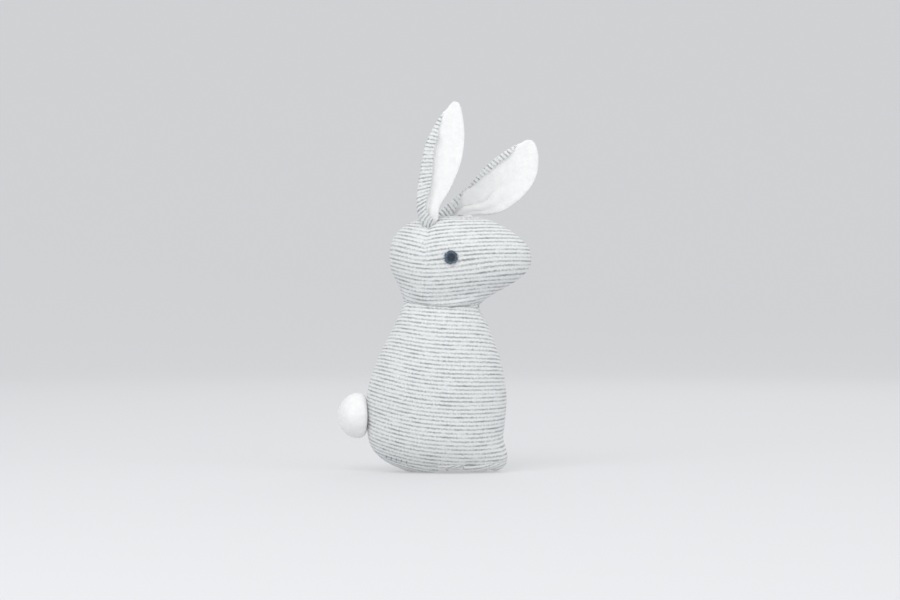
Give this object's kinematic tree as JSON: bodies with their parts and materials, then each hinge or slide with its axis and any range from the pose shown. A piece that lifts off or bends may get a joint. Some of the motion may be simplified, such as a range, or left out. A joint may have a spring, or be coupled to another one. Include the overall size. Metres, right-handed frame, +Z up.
{
  "type": "stuffed bunny rabbit",
  "caption": "Sitting stuffed rabbit in profile, sewn from striped knit jersey, with velour-lined ears, a puff tail and embroidered eyes.",
  "frame": {"origin": "centre of the bounding box at the surface the toy sits on", "axes": "+Z up, +X towards the nose, +Y towards the rabbit's left side"},
  "size_m": [0.127, 0.0502, 0.2307],
  "materials": {
    "striped_jersey": "fine grey and off-white striped cotton jersey",
    "white_velour": "short-pile white cotton velour",
    "eye_thread": "slate-blue embroidery thread in satin stitch",
    "fibrefill": "loose white polyester fibre",
    "sewing_thread": "grey spun polyester sewing thread"
  },
  "bodies": {
    "torso": {"torso_panel_right": "striped_jersey", "torso_panel_left": "striped_jersey", "base_gusset": "striped_jersey", "torso_stuffing": "fibrefill", "torso_seam_thread": "sewing_thread", "base_seam_thread": "sewing_thread", "closing_stitches": "sewing_thread"},
    "neck": {"neck_stuffing": "fibrefill", "neck_seam_thread": "sewing_thread"},
    "head": {"head_panel_right": "striped_jersey", "head_panel_left": "striped_jersey", "head_stuffing": "fibrefill", "head_seam_thread": "sewing_thread", "dart_thread_right": "sewing_thread", "dart_thread_left": "sewing_thread", "eye_right": "eye_thread", "eye_left": "eye_thread"},
    "ear_right": {"ear_right_outer": "striped_jersey", "ear_right_inner": "white_velour", "ear_right_seam_thread": "sewing_thread"},
    "ear_left": {"ear_left_outer": "striped_jersey", "ear_left_inner": "white_velour", "ear_left_seam_thread": "sewing_thread"},
    "tail": {"tail_cover": "white_velour", "tail_stuffing": "fibrefill", "tail_gather_thread": "sewing_thread"}
  },
  "joints": [
    {"name": "head_turn", "type": "hinge", "parent": "torso", "child": "neck", "pos_m": [0.0022, 0, 0.105], "axis": [0, 0, 1], "range_deg": [-25, 25], "stiffness_Nm_per_rad": 0.15},
    {"name": "head_nod", "type": "hinge", "parent": "neck", "child": "head", "pos_m": [0.0022, 0, 0.105], "axis": [0, 1, 0], "range_deg": [-15, 15], "stiffness_Nm_per_rad": 0.2},
    {"name": "ear_right_flop", "type": "hinge", "parent": "head", "child": "ear_right", "pos_m": [-0.0056, -0.015, 0.1552], "axis": [0.9744, 0, -0.225], "range_deg": [-10, 100], "stiffness_Nm_per_rad": 0.006},
    {"name": "ear_left_flop", "type": "hinge", "parent": "head", "child": "ear_left", "pos_m": [0.0089, 0.0201, 0.14955], "axis": [-0.7431, 0, 0.6691], "range_deg": [-10, 100], "stiffness_Nm_per_rad": 0.006},
    {"name": "tail_wag", "type": "hinge", "parent": "torso", "child": "tail", "pos_m": [-0.045, 0, 0.035], "axis": [0, 0, 1], "range_deg": [-10, 10], "stiffness_Nm_per_rad": 0.01}
  ]
}
